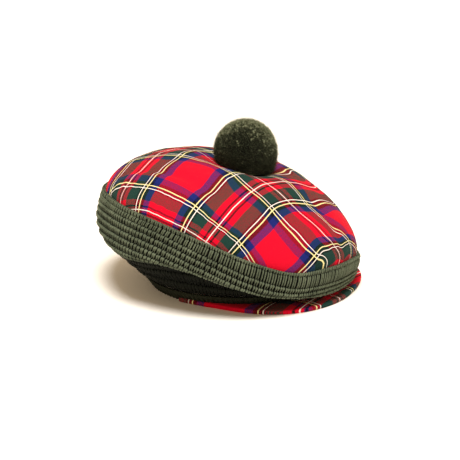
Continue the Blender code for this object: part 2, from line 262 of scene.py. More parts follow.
# %% The top's height
CREASES = (
    # bearing and share: where it lies; heading: which way it runs; half lengths; height
    (252, 0.82, 5, 0.22, 0.05, 0.030), (262, 0.71, 8, 0.30, 0.05, -0.035),
    (294, 0.71, 30, 0.16, 0.05, -0.028), (297, 0.55, 35, 0.14, 0.05, 0.024),
    (8, 0.80, 12, 0.26, 0.04, -0.032), (150, 0.62, 60, 0.30, 0.06, -0.030),
)


def crease_height(bearing, share):
    """How far the soft creases raise or sink the top there."""
    place = out(bearing) * np.asarray(share)[..., None]
    total = np.zeros(np.shape(bearing))
    for at, far, heading, length, width, height in CREASES:
        offset = place - out(at) * far
        along, across = offset @ out(heading), offset @ out(heading + 90)
        total += height * DOME_RISE * np.exp(-(along / length) ** 2 - (across / width) ** 2)
    return total


RIPPLE_SIZES = ((26 * MM, 1.0), (11 * MM, 0.5))  # how long a wave is, and its strength


def ripple(points):
    """Slow waves of cloth that is eased over a soft dome, under a millimetre high."""
    return MM * np.array([sum(strength * noise.noise(Vector(point) / size)
                              for size, strength in RIPPLE_SIZES) for point in points])


def top_height(share):
    """The smooth dome less its dimple, over the seam's plane."""
    rise = DOME_RISE * np.maximum(1 - share ** SHOULDER_POWER, 0) ** SHOULDER_EDGE
    return rise - DIMPLE_DEPTH * np.exp(-(share * CROWN_RADIUS / DIMPLE_RADIUS) ** 2)


GATHERS, GATHER_DEPTH = 15, 1.2 * MM
TUCK_POWER = 6  # how late the cloth turns in to go behind the knit


def top_point(bearing, share, extra=0.0):
    """A point of the tartan top: share 0 is its middle and 1 is where it meets the knit."""
    reach, lift = seam(bearing)
    gather = GATHER_DEPTH * (1 - np.cos(np.radians(bearing * GATHERS))) / 2
    gather *= share ** TUCK_POWER * (1 - share ** 30)
    height = top_height(share) - gather + lift * share ** 2 + crease_height(bearing, share) + extra
    return crown_point(bearing, reach * share - (KNIT_WALL + GAP) * share ** TUCK_POWER, height)


print("top over the table in mm:", round(float(top_point(0.0, 0.3)[2]) * 1000))

# %% [markdown]
# ## Cut the top's cloth
# The mesh is a round web: rings of points from the middle to the rim and a short skirt that tucks
# down behind the knit. Where the cloth is eased into the seam it puckers, so small pleats, no two
# of them equal, fade in over the last few centimetres.

# %% Pucker the rim
SPOKES, RINGS = 720, 120
bearing = bearings(SPOKES)
shares = 1 - (1 - np.linspace(0, 1, RINGS)) ** 1.15  # the rings crowd a little toward the rim
PLEATS, PLEAT_DEPTH, PLEAT_START = 60, 0.55 * MM, 0.80
random = np.random.default_rng(7)


def random_waves(count):
    """Strengths and phases for wander."""
    return np.stack((random.normal(size=count), random.uniform(0, 360, count)), axis=1)


def wander(bearing, waves):
    """A smooth random value round the cap, about -1 to 1. The first wave goes round twice."""
    total = np.zeros(np.shape(bearing))
    for count, (strength, phase) in enumerate(waves, start=2):
        total += strength * np.cos(np.radians(bearing * count + phase))
    return total / sqrt(len(waves))


pleat_depth = PLEAT_DEPTH * (1 + 0.5 * wander(bearing, random_waves(38)))
pleat_phase = bearing * PLEATS + 60 * wander(bearing, random_waves(12))


def pleats(share):
    """Small puckers that fade in toward the seam."""
    fade = np.clip((share - PLEAT_START) / (1 - PLEAT_START), 0, 1) ** 2 * (1 - share ** 60)
    return fade * pleat_depth * np.cos(np.radians(pleat_phase))


print("deepest pleat in mm:", round(pleat_depth.max() * 1000, 2))

# %% Make the top
def ring_faces(rings, count, closed):
    """The faces between rings of count points. closed joins the last ring to the first."""
    i, j = np.meshgrid(np.arange(rings if closed else rings - 1), np.arange(count), indexing="ij")
    k, m = (i + 1) % rings, (j + 1) % count
    corners = (i * count + j, k * count + j, k * count + m, i * count + m)
    return np.stack(corners, axis=-1).reshape(-1, 4)


SKIRT = 3 * MM
plain = [top_point(bearing, np.full(SPOKES, share)) for share in shares]
rings = []
for share, ring in zip(shares[1:], plain[1:]):
    waves = 0.9 * ripple(ring) * min(share / 0.3, 1) * (1 - share ** 12)
    rings.append(top_point(bearing, np.full(SPOKES, share), pleats(share) + waves))
arc = np.cumsum(norm(np.diff(plain, axis=0)), axis=0)
rings.append(rings[-1] - lean(UP) * SKIRT)
arc = np.vstack((arc, arc[-1] + SKIRT))
points = np.vstack([top_point(0.0, 0.0)] + rings)
web = [(0, 1 + j, 1 + (j + 1) % SPOKES) for j in range(SPOKES)]
web += (1 + ring_faces(len(rings), SPOKES, closed=False)).tolist()
print("cloth from its middle to the rim in mm:", round(arc[-2].mean() * 1000, 1))

# %% [markdown]
# ## Lay the sett on the top
# Tartan is woven in one repeating sett, which is the same along and across. Its lines stay straight
# on the bolt and bend only because the cloth does. So each point of the mesh gets its place on
# the flat cloth: its distance from the middle along the surface, turned and shifted to where
# the photograph has the squares. Cloth eased over a dome is also pulled a little off the straight,
# and a few soft local pulls carry that.

# %% Places on the cloth
SETT = 129.8  # mm, one whole repeat of the colours
# Where on the bolt the top's middle lies, and what RULER mm to the side and to the back add, in mm
RULER, MIDDLE_AT, TO_SIDE, TO_BACK = 150, (129.3, 42.96), (156.61, 23.64), (24.99, -155.21)
RIM_AT = 160  # mm along the cloth from its middle to its rim
PULLS = {
    # share of the way to the rim and reach in mm: bearing, and the pull in mm along and across the cloth
    (.35, 27): ((215, -13.3, 11.6), (275, -7.0, 9.5), (335, 4.3, 4.3), (35, 7.3, -14.3)),
    (.60, 27): ((215, .3, 6.1), (245, -3.7, 1.7), (275, .3, -3.0), (305, 11.4, 1.7),
                (335, 3.0, 4.9), (5, 19.0, -9.8), (35, .6, -14.3)),
    (.80, 27): ((215, -.1, 3.4), (238, -8.7, -5.4), (260, .9, -.8), (282, 4.1, .8),
                (305, 11.6, -1.7), (328, 10.0, -.5), (350, -2.3, 8.2), (12, 3.7, -11.0)),
    (.97, 27): ((233, -9.0, 10.5), (251, -3.8, 5.0), (269, -2.5, -3.8), (287, -1.2, -1.1),
                (305, -7.2, -1.2), (323, -.9, 0), (341, 3.2, -1.1), (359, -19.1, 3.5), (17, -20.7, 6.6)),
    (.88, 14): ((335, 1.5, 0), (345, 1.3, -.5), (355, 7.4, 2.3), (5, 3.0, 6.1), (15, -3.0, 4.4)),
    (.99, 14): ((345, -5.0, 2.0), (355, -5.0, 4.0), (5, -5.0, 7.0), (15, -5.0, 7.0)),
}


def cloth_place(flat):
    """Where on the bolt, in mm, a point of the flat round of cloth lies."""
    x, y = flat[:, :1] / RULER, flat[:, 1:] / RULER
    place = np.array(MIDDLE_AT) + np.array(TO_SIDE) * x + np.array(TO_BACK) * y
    for (share, wide), pulls in PULLS.items():
        for at, along, across in pulls:
            offset = flat - out(at)[:2] * share * RIM_AT
            place += np.exp(-(offset ** 2).sum(1) / wide ** 2)[:, None] * np.array((along, across))
    return place


def keep_value(mesh, name, values):
    """Keeps one number with each point, for a finish to read."""
    layer = mesh.attributes.new(name, "FLOAT", "POINT")
    layer.data.foreach_set("value", np.asarray(values, dtype=np.float32))


def give_places(mesh, places, name="cloth"):
    """Keeps each point's place on the cloth or along the yarn as a UV map."""
    layer = mesh.uv_layers.new(name=name)
    corner = np.empty(len(mesh.loops), dtype=np.int32)
    mesh.loops.foreach_get("vertex_index", corner)
    layer.data.foreach_set("uv", np.asarray(places, dtype=np.float32)[corner].ravel())


flat = np.vstack([np.zeros((1, 2))] + [out(bearing)[:, :2] * ring[:, None] * 1000 for ring in arc])
top_places = cloth_place(flat)
print("setts across the top:", round(np.ptp(top_places[:, 0]) / SETT, 2))

# %% [markdown]
# ## The woven wool
# The cloth is worsted wool in a twill: each thread passes over two and under one, one further
# along in each row, which draws fine diagonal lines. The stripes come from the dyed order of the
# threads. A ping-pong function folds the sett back on itself at its middle red block, and a
# stepped colour ramp reads the order. Where two colours cross, threads of both show side by side,
# and the eye sees maroon or purple.

# %% Weave the tartan
HALF_SETT = (
    # width in mm from the middle of the large red block, and the yarn
    (20.6, "red"), (7.8, "blue"), (4.1, "black"), (1.25, "yellow"), (3.3, "black"), (1.2, "white"),
    (1.95, "black"), (13.2, "green"), (6.4, "red"), (2.0, "black"), (2.5, "red"), (0.6, "white"),
)
YARNS = {"red": "#CF0729", "blue": "#18226A", "black": "#0B0D0C", "yellow": "#E6DA9E",
         "white": "#E9E4E0", "green": "#193833"}
RED_MIDDLE = 35.4  # mm on the bolt, the middle of a large red block
THREAD = 0.42  # mm, the real spacing of a fine worsted
KERATIN_IOR = 1.54  # the wool fibre itself


def stripes(tree, along):
    """The colour of the thread that lies at a place on the cloth, counted in setts."""
    from_red = add_node(tree, MATH, (along, RED_MIDDLE / SETT), operation="SUBTRACT")
    folded = add_node(tree, MATH, (from_red, 0.5), operation="PINGPONG")
    place = add_node(tree, MATH, (folded, 2.0), operation="MULTIPLY")
    order = add_node(tree, "ShaderNodeValToRGB", {"Fac": place})
    order.color_ramp.interpolation = "CONSTANT"
    half, edge = sum(width for width, _ in HALF_SETT), 0.0
    for step, (width, yarn) in enumerate(HALF_SETT):
        stops = order.color_ramp.elements
        stop = stops[step] if step < 2 else stops.new(edge / half)
        stop.position = edge / half
        stop.color = linear(YARNS[yarn])
        edge += width
    return order.outputs["Color"]


# Worsted is combed smooth and tightly spun: matt, with a trace of sheen from stray fibres
tartan, tree, shader = new_finish("wool_tartan_twill", {
    "Roughness": 0.85, "IOR": KERATIN_IOR, "Specular IOR Level": 0.06,
    "Sheen Weight": 0.02, "Sheen Roughness": 0.5})
places = add_node(tree, "ShaderNodeUVMap", uv_map="cloth")
sides = add_node(tree, "ShaderNodeSeparateXYZ", {0: places})
colours, greens, threads = [], [], []
for side in (sides.outputs["X"], sides.outputs["Y"]):
    colours.append(stripes(tree, side))
    greens.append(add_node(tree, "ShaderNodeSeparateColor", {0: colours[-1]}).outputs["Green"])
    place = add_node(tree, MATH, (side, SETT / THREAD), operation="MULTIPLY")
    threads.append(add_node(tree, MATH, (place,), operation="FLOOR"))
warp, weft = colours
step = add_node(tree, MATH, threads, operation="ADD")
third = add_node(tree, MATH, (step, 3.0), operation="DIVIDE")
lap = add_node(tree, MATH, (third,), operation="FRACT")
print("threads to a sett:", round(SETT / THREAD))

# %% [markdown]
# The pale lines are of a thicker, bleached yarn that covers the threads it crosses, so they stay
# bright on dark ground. Elsewhere a noise decides how often the warp comes to the top, as spun
# yarn is uneven, and that gives the cloth its grain. Where unlike dark threads cross, less red
# comes back than from either alone, so a tint takes it out. The weave is raised by a fine bump.

# %% Cross the threads
LESS_RED = (0.62, 1.2, 1.05, 1)
paleness = add_node(tree, MATH, greens, operation="SUBTRACT")
uneven = add_node(tree, NOISE, {"Vector": places, "Scale": 110.0, "Detail": 2.0})
often = add_node(tree, REMAP, (uneven, 0.0, 1.0, -0.32, 0.74))
cover = add_node(tree, MATH, (paleness, 0.95, often), operation="MULTIPLY_ADD")
on_top = add_node(tree, MATH, (lap, cover), operation="LESS_THAN")
crossed = add_node(tree, MIX, {0: on_top, 6: weft, 7: warp}, data_type="RGBA")
unlike = add_node(tree, VECTOR_MATH, (warp, weft), operation="DISTANCE")
contrast = add_node(tree, REMAP, (unlike.outputs["Value"], 0.0, 0.6))
pale = add_node(tree, MATH, (paleness,), operation="ABSOLUTE")
dark = add_node(tree, MATH, (pale, -2.0, 1.0), operation="MULTIPLY_ADD")
mixed = add_node(tree, MATH, (contrast, dark), operation="MINIMUM")
dulling = add_node(tree, MIX, {0: mixed, 6: (1, 1, 1, 1), 7: LESS_RED}, data_type="RGBA")
dulled = add_node(tree, VECTOR_MATH, (crossed.outputs[2], dulling.outputs[2]), operation="MULTIPLY")
fibres = add_node(tree, NOISE, {"Vector": places, "Scale": 160.0, "Detail": 3.0})
mottle = add_node(tree, REMAP, (fibres, 0.3, 0.7, 0.72, 1.18))
tone = add_node(tree, VECTOR_MATH, {0: dulled, 3: mottle}, operation="SCALE")
diagonal = add_node(tree, MATH, (step, pi * 2 / 3), operation="MULTIPLY")
ridges = add_node(tree, MATH, (diagonal,), operation="COSINE")
relief = add_node(tree, MATH, (fibres, 1.2, ridges), operation="MULTIPLY_ADD")
bump = add_node(tree, "ShaderNodeBump", {"Height": relief, "Strength": 0.35, "Distance": 0.0003})
fill(shader, {"Base Color": tone, "Normal": bump})

crown = mesh_object("tartan_top", points, web, tartan)
give_places(crown.data, top_places / SETT)
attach(crown, "root")
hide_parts("crown_top")

# %% [markdown]
# ## The knitted side as a surface
# The side is a deep strip of knitting. It hangs from the seam, rolls under in a soft fold and runs
# in to the head band. A curve down each bearing gives its path, and a grid of such curves,
# measured along the knitting, lets a stitch be placed anywhere by row and by bearing.

# %% The side's curve
BAND_TOP_RADIUS = HEAD_RADIUS + BAND_FLARE
WALL = ((0.00, 0.00), (0.95, 0.28), (0.90, 0.62), (0.10, 0.88))  # bulge and drop as shares
MARK_STEPS = 12  # points from one mark of the curve to the next


def side_curve(bearing):
    """The side's path down each bearing, as rows of points."""
    reach, lift = seam(bearing)
    edge = crown_point(bearing, reach, lift)
    drop = (edge[..., 2] - PEAK_TOP - FOLD_CLEARANCE) * (1 - around(FOLD, bearing))
    drop /= cos(radians(CROWN_LEAN))
    marks = [crown_point(bearing, reach + SIDE_BULGE * bulge, lift - drop * down) for bulge, down in WALL]
    fold = crown_point(bearing, reach - FOLD_ROUND, lift - drop)
    band = out(bearing) * BAND_TOP_RADIUS + UP * (BAND_HEIGHT + GAP)
    level = around(UNDER, bearing)
    under = fold + (band - fold) * (0.5 + 0.25 * level)[:, None]
    under[:, 2] = fold[:, 2] + (band[:, 2] - fold[:, 2]) * 0.5 * (1 - level)
    marks += [fold, under, band]
    marks = [2 * marks[0] - marks[1]] + marks + [2 * marks[-1] - marks[-2]]
    rows = []
    for i in range(1, len(marks) - 2):
        rows += [spline(*marks[i - 1:i + 3], t) for t in np.linspace(0, 1, MARK_STEPS, endpoint=False)]
    return np.array(rows + [band])


print("head band's upper radius in mm:", round(BAND_TOP_RADIUS * 1000))

# %% A grid of knitting
GRID_SPOKES, GRID_STEPS = 720, 160
grid_bearing = bearings(GRID_SPOKES)
curve = side_curve(grid_bearing)
lengths = np.vstack((np.zeros(GRID_SPOKES), np.cumsum(norm(np.diff(curve, axis=0)), axis=0)))
side_length, fold_length = lengths[-1], lengths[len(WALL) * MARK_STEPS]
side_grid = np.empty((GRID_STEPS + 1, GRID_SPOKES, 3))
for spoke in range(GRID_SPOKES):
    even = np.linspace(0, side_length[spoke], GRID_STEPS + 1)
    for axis in range(3):
        side_grid[:, spoke, axis] = np.interp(even, lengths[:, spoke], curve[:, spoke, axis])
down = np.gradient(side_grid, axis=0)
across = np.roll(side_grid, -1, axis=1) - np.roll(side_grid, 1, axis=1)
side_normal = unit(np.cross(down, across))


def sample(grid, bearing, share):
    """The grid's value at any bearing and share of the way down the side."""
    column = np.mod(bearing, 360.0) / 360.0 * GRID_SPOKES
    row = np.clip(share, 0, 1) * GRID_STEPS
    j, i = np.floor(column).astype(int), np.minimum(np.floor(row).astype(int), GRID_STEPS - 1)
    u, v = (column - j)[:, None], (row - i)[:, None]
    j, k = j % GRID_SPOKES, (j + 1) % GRID_SPOKES
    upper = grid[i, j] * (1 - u) + grid[i, k] * u
    return upper * (1 - v) + (grid[i + 1, j] * (1 - u) + grid[i + 1, k] * u) * v


def at_bearing(values, bearing):
    """One of the grid's lengths, such as side_length, at any bearing."""
    return np.interp(np.mod(bearing, 360.0), np.append(grid_bearing, 360.0), np.append(values, values[0]))


print("longest way from seam to band in mm:", round(side_length.max() * 1000))

# %% [markdown]
# ## The wool of the knitting
# The yarn is a soft two-ply wool in olive, dyed in the fleece, so light and dark fibres lie side by
# side. It has no gloss. Its two plies wind round each other about every 6 mm, which a bump along
# the yarn's own length and round it draws. A value kept with each point, named under, darkens the
# colour as painted shade: in the slots, at the foot of each row and under the fold. The backing
# gets the same wool, painted near black as the shade behind the slots.

# %% Spin the yarn
PLY_TURN = 6.0  # mm
DARKEST_PAINTED_SHADE = 0.07  # what is left of the colour where under is 1


def wool(name, dark, light, sheen=0.03):
    """Two-ply wool yarn between two tones. Its UV map runs along the yarn in mm and round it."""
    finish, tree, shader = new_finish(name, {
        "Roughness": 0.92, "IOR": KERATIN_IOR, "Specular IOR Level": 0.1, "Sheen Weight": sheen})
    run = add_node(tree, "ShaderNodeUVMap", uv_map="yarn")
    parts = add_node(tree, "ShaderNodeSeparateXYZ", {0: run})
    two_plies = add_node(tree, MATH, (parts.outputs["Y"], 2.0), operation="MULTIPLY")
    turns = add_node(tree, MATH, (parts.outputs["X"], 1 / PLY_TURN, two_plies), operation="MULTIPLY_ADD")
    angle = add_node(tree, MATH, (turns, 2 * pi), operation="MULTIPLY")
    wave = add_node(tree, MATH, (angle,), operation="COSINE")
    plies = add_node(tree, MATH, (wave, 0.5, 0.5), operation="MULTIPLY_ADD")
    spot = add_node(tree, "ShaderNodeTexCoord").outputs["Object"]
    coarse = add_node(tree, NOISE, {"Vector": spot, "Scale": 60.0, "Detail": 2.0})
    hairs = add_node(tree, NOISE, {"Vector": spot, "Scale": 2600.0, "Detail": 3.0})
    slow = add_node(tree, MATH, (coarse, 0.3), operation="MULTIPLY")
    blend = add_node(tree, MATH, (hairs, 0.7, slow), operation="MULTIPLY_ADD")
    tones = add_node(tree, REMAP, (blend, 0.35, 0.65))
    marl = add_node(tree, MIX, {0: tones, 6: linear(dark), 7: linear(light)}, data_type="RGBA")
    # The under value is painted shade: it darkens the wool's colour in the slots, at each row's foot and
    # under the fold
    under = add_node(tree, "ShaderNodeAttribute", attribute_name="under")
    painted_shade_factor = add_node(tree, REMAP, (under.outputs["Fac"], 0.0, 1.0, 1.0, DARKEST_PAINTED_SHADE))
    tone = add_node(tree, VECTOR_MATH, {0: marl.outputs[2], 3: painted_shade_factor}, operation="SCALE")
    relief = add_node(tree, MATH, (hairs, 0.5, plies), operation="MULTIPLY_ADD")
    bump = add_node(tree, "ShaderNodeBump", {"Height": relief, "Strength": 0.5, "Distance": 0.0005})
    fill(shader, {"Base Color": tone, "Normal": bump})
    return finish


olive_yarn = wool("olive_wool_yarn", "#323B2E", "#707A65")
# Painted shade: the same olive wool in near-black tones, for the backing seen in the dark slots
shaded_wool = wool("shaded_olive_wool", "#050604", "#0C0E09", 0.0)
print("yarns spun:", olive_yarn.name, "and", shaded_wool.name)

# %% [markdown]
# ## Knit the rows
# Unrolled, the side shows rows of upright strands. At the top of a row the strands swell until
# they touch and make a ridge. Below it they narrow, and dark slits open between them, until they
# dive under the ridge of the next row. That is a flattened spring of yarn: down in front, up
# behind. So a row is one closed coil with two turns for each wale, which are a stitch's two legs,
# laid on the side's surface, and a tube is drawn round that path. Real loops linked through each
# other would look the same from outside and need three times the points.

# %% Wind a yarn
TUBE_SIDES = 6


def grid_places(down, across):
    """A place for each point of a grid, from the marks down it and across it."""
    return np.stack(np.broadcast_arrays(down[:, None], across), axis=-1).reshape(-1, 2)


def tube(path, lift, wide, thick):
    """Points, faces and places of a closed yarn. lift points off the surface; wide and thick are radii."""
    ahead = np.roll(path, -1, axis=0) - np.roll(path, 1, axis=0)
    side = unit(np.cross(ahead, lift))
    rise = unit(np.cross(side, ahead))
    angle = np.arange(TUBE_SIDES) * 2 * pi / TUBE_SIDES
    ring = (path[:, None] + side[:, None] * (wide[:, None] * np.cos(angle))[..., None]
            + rise[:, None] * (thick[:, None] * np.sin(angle))[..., None])
    run = np.concatenate(([0], np.cumsum(norm(np.diff(path, axis=0))))) * 1000
    faces = ring_faces(len(path), TUBE_SIDES, closed=True)
    return ring.reshape(-1, 3), faces, grid_places(run, np.arange(TUBE_SIDES) / TUBE_SIDES)


def join(parts):
    """Several tubes as one set of points, faces and places."""
    points, faces, places = zip(*(part[:3] for part in parts))
    starts = np.cumsum([0] + [len(part) for part in points[:-1]])
    faces = [part + start for part, start in zip(faces, starts)]
    return np.vstack(points), np.vstack(faces), np.vstack(places)


print("sides to a yarn:", TUBE_SIDES)

# %% [markdown]
# The rows are read off the photograph: a narrow edge row at the seam, then one tall row of plain
# upright strands, taller over the peak, and below it rows of 6.7 mm. Past the fold, where the
# knitting turns in to the head band, four last rows share what length is left.

# %% The rows' edges
# Where the edge row and the tall row end, in mm below the seam, every 20 degrees from the peak
EDGE_ROW = (3.0, 3.0, 3.0, 3.4, 4.0, 4.5, 4.6, 4.6, 4.6, 4.6, 4.6, 4.7, 4.7, 4.6, 4.2, 3.6, 3.2, 3.0)
TALL_ROW = (17.0, 16.5, 15.0, 13.0, 11.5, 10.5, 10.3, 10.3, 10.3,
            10.5, 11.5, 13.0, 11.0, 10.3, 10.4, 12.4, 14.5, 15.6)
ROW_PITCH, TRUE_ROWS, LAST_ROWS = 6.7 * MM, 6, 4
ROWS = 2 + TRUE_ROWS + LAST_ROWS


def row_edge(row, bearing):
    """How far below the seam a row begins."""
    total, tall = at_bearing(side_length, bearing), around(TALL_ROW, bearing) * MM
    true_end = np.minimum(tall + TRUE_ROWS * ROW_PITCH, total * 0.74)
    if row == 0:
        return np.zeros(np.shape(bearing))
    if row == 1:
        return around(EDGE_ROW, bearing) * MM
    if row <= 2 + TRUE_ROWS:
        return tall + (true_end - tall) * (row - 2) / TRUE_ROWS
    return true_end + (total - true_end) * (row - 2 - TRUE_ROWS) / LAST_ROWS


print("rows:", ROWS)

# %% [markdown]
# The knitting isn't stretched alike all round. The photograph shows wales closer together at the
# left than over the peak, strands that lean over by up to half a wale from top to bottom, and
# at the left thinner strands whose two legs stand closer. Four short tables round the cap carry
# that. Adding up the first one gives the bearing of each wale.

# %% Space the wales
# How many wales there would be all round at each bearing's spacing, and how far the strands lean
WALES_ROUND = (162, 165) + (170,) * 7 + (172, 176, 182, 188, 188, 172, 167, 157, 152)
STRAND_LEAN = (.1, .1) + (0,) * 8 + (-.2, -.4, -.5, -.5, -.5, -.35, -.1, 0)
# How full the yarn is, and how far a wale's second leg stands from its first, as a share of it
STRAND_FULL = (1,) * 11 + (.95, .88, .88, .92, 1, 1, 1)
LEGS_APART = (.43,) * 10 + (.41, .37, .33, .33, .37, .41, .43, .43)
WALES = 170
all_round = np.arange(-60.0, 421.0)
wales_passed = np.cumsum(around(WALES_ROUND, all_round))
turn_start, turn_end = np.interp((0, 360), all_round, wales_passed)
wales_passed = (wales_passed - turn_start) * WALES / (turn_end - turn_start)
print("narrowest wale at the seam in mm:", round(2 * pi * CROWN_RADIUS * 1000 / max(WALES_ROUND), 1))

# %% [markdown]
# A strand is ten rings of yarn, down its row in front and up again behind. Each ring has its
# height off the surface, its two radii and its dimness. dim is painted shade, 1 where the ring is
# hidden from the light, and slot says how much painted shade between strands goes on its sides.

# %% Knit
# How far down its row each ring is, how much of the strand's lean it has taken, and how far it
# has gone over, behind, to the next strand
DOWN = np.array((0.0, 0.10, 0.22, 0.38, 0.56, 0.74, 0.90, 1.0, 0.55, 0.15))
FRONT = np.array((0.0, .1, .22, .38, .56, .74, .90, 1.0, 1.0, 1.0))
BEHIND = np.array((0.0, 0, 0, 0, 0, 0, 0, 0, .4, .8))
# height, wide and thick in mm
RIDGED = dict(height=(-1.9, -0.5, 0.0, -0.3, -0.9, -1.3, -1.7, -2.3, -2.8, -2.6),
              wide=(0.7, 1.2, 1.35, 0.95, 0.7, 0.65, 0.6, 0.55, 0.45, 0.45),
              thick=(0.6, 0.8, 0.9, 0.8, 0.7, 0.65, 0.6, 0.5, 0.4, 0.4),
              dim=(0.8, 0.1, 0.0, 0.0, 0.15, 0.3, 0.5, 0.8, 1, 1),
              slot=(1, .5, .35, .8, 1, 1, 1, 1, 1, 1))
UPRIGHT = dict(height=(-2.0, -0.8, -0.3, -0.3, -0.4, -0.6, -1.2, -2.1, -2.8, -2.6),
               wide=(0.7, 1.0, 0.95, 0.9, 0.85, 0.8, 0.7, 0.55, 0.45, 0.45),
               thick=(0.6, 0.8, 0.8, 0.8, 0.8, 0.7, 0.6, 0.5, 0.4, 0.4),
               dim=(0.8, 0.1, 0.0, 0.0, 0.0, 0.1, 0.4, 0.8, 1, 1), slot=(.6,) * 10)
SLOT_SHADE = np.array((0.85, 0.0, 0.0, 0.85, 1.0, 1.0))  # how much painted shade each of a ring's six sides gets in a slot
UNEVEN_WALE, UNEVEN_STRAND = 0.03, (0.02, 0.12, 0.06)  # in wales; in its place, height and girth
SHADE_FADES_IN = 9 * MM  # past the fold


def knit_row(row, random):
    """One row of the side as a coil of yarn."""
    shape = {name: np.tile(rings, 2 * WALES) for name, rings in (UPRIGHT if row < 2 else RIDGED).items()}
    legs = np.arange(2 * WALES)
    apart = around(LEGS_APART, np.interp(legs // 2, wales_passed, all_round))
    starts = legs // 2 + apart * (legs % 2)
    steps = np.where(legs % 2 == 0, apart, 1 - apart)[:, None]
    leans = around(STRAND_LEAN, np.interp(starts, wales_passed, all_round))[:, None] * (1 if row else 0.3)
    wale = starts[:, None] + leans * FRONT + (steps - leans) * BEHIND
    wale = wale + random.normal(0, UNEVEN_WALE, (2 * WALES, 1))
    bearing = np.interp(wale.ravel(), wales_passed, all_round)
    start, end = row_edge(row, bearing), row_edge(row + 1, bearing)
    loose, puff, fat = np.repeat(random.normal(0, UNEVEN_STRAND, (2 * WALES, 3)), len(DOWN), axis=0).T
    place = start + (end - start) * (np.tile(DOWN, 2 * WALES) * 1.08 - 0.05 + loose)
    share = place / at_bearing(side_length, bearing)
    normal = sample(side_normal, bearing, share)
    path = sample(side_grid, bearing, share) + normal * (shape["height"] + puff)[:, None] * MM
    fat = (1 + fat) * around(STRAND_FULL, bearing) * MM
    # Painted shade: under darkens the yarn past the fold, dim the rings at a row's foot and behind, and
    # slot the strands' sides in the slots
    under = np.clip((place - at_bearing(fold_length, bearing)) / SHADE_FADES_IN, 0, 1)
    painted_lit_share = (1 - under) * (1 - shape["dim"])
    between = 1 - np.outer(shape["slot"], SLOT_SHADE)
    painted_shade = 1 - (painted_lit_share[:, None] * between).ravel()
    return tube(path, normal, shape["wide"] * fat, shape["thick"] * fat) + (painted_shade,)


# Four rows to a piece, so that each piece stays light enough to export whole
ROWS_A_PIECE = 4
random = np.random.default_rng(11)
rows, knitting = [knit_row(row, random) for row in range(ROWS)], []
for number, first in enumerate(range(0, ROWS, ROWS_A_PIECE)):
    group = rows[first:first + ROWS_A_PIECE]
    points, faces, places = join(group)
    piece = mesh_object(f"knit_rows_{number + 1}", points, faces.tolist(), olive_yarn)
    give_places(piece.data, places, "yarn")
    # The under value carries each point's painted shade to the yarn's finish
    keep_value(piece.data, "under", np.concatenate([row[3] for row in group]))
    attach(piece, "root")
    knitting.append(piece)

# %% [markdown]
# ## The edge at the seam
# The knitting was cast on at its upper edge, and the cast-on shows as a thin cord that lies on the
# seam and hides the cut cloth. It is two yarns twisted round each other.

# %% Cast on
CORD_STEPS, CORD_TWISTS = 1820, 130
CORD_RADIUS, YARN_RADIUS = 0.6 * MM, 0.9 * MM  # from the cord's middle to a yarn's, and the yarn's own
CORD_IN, CORD_DOWN = 2.3 * MM, 1.1 * MM  # where the cord lies, from the seam's edge


def edge_cord(phase):
    """One of the two yarns of the cord, wound round the seam's line."""
    bearing = bearings(CORD_STEPS)
    reach, lift = seam(bearing)
    twist = np.radians(bearing * CORD_TWISTS) + phase
    reach = reach - CORD_IN + CORD_RADIUS * np.cos(twist)
    path = crown_point(bearing, reach, lift - CORD_DOWN + CORD_RADIUS * np.sin(twist))
    normal = crown_point(bearing, reach + 0.01, lift + 0.01) - path
    size = np.full(CORD_STEPS, YARN_RADIUS)
    return tube(path, normal, size, size)


points, faces, places = join([edge_cord(0.0), edge_cord(pi)])
cord = mesh_object("cast_on_edge", points, faces.tolist(), olive_yarn)
give_places(cord.data, places, "yarn")
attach(cord, "root")

# %% [markdown]
# ## The backing of the knitting
# Seen from below and through the slots, the knitting has a back. A closed shell, from just under
# the strands to the wall's full thickness, stands for it and carries the fabric's inner face.

# %% Make the backing
BACK_SPOKES, BACK_FRONT = 360, 2.9 * MM
OUTER_RINGS, INNER_RINGS = 41, 31
back_bearing = bearings(BACK_SPOKES)


def backing_ring(share, depth):
    """A ring of points, share of the way down the side and depth behind its surface."""
    spread = np.full(BACK_SPOKES, share)
    return sample(side_grid, back_bearing, spread) - sample(side_normal, back_bearing, spread) * depth


shell = np.array([backing_ring(share, BACK_FRONT) for share in np.linspace(0.0, 1.0, OUTER_RINGS)]
                 + [backing_ring(share, KNIT_WALL) for share in np.linspace(1.0, 0.0, INNER_RINGS)])
faces = ring_faces(len(shell), BACK_SPOKES, closed=True)
# The backing's near-black wool is painted shade, behind and between the strands
backing = mesh_object("knit_backing", shell.reshape(-1, 3), faces.tolist(), shaded_wool)
give_places(backing.data, grid_places(np.arange(len(shell)), np.arange(BACK_SPOKES)), "yarn")
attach(backing, "root")
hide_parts("knit_side")

# %% [markdown]
# ## The head band
# The band is a short ring of one-and-one rib, which grips the head. Ribs are columns of stitches
# that stand proud between sunk columns. The ring is lofted from one outline that is pushed in and
# out round the cap for the ribs, and up its height for the stitches of each column.

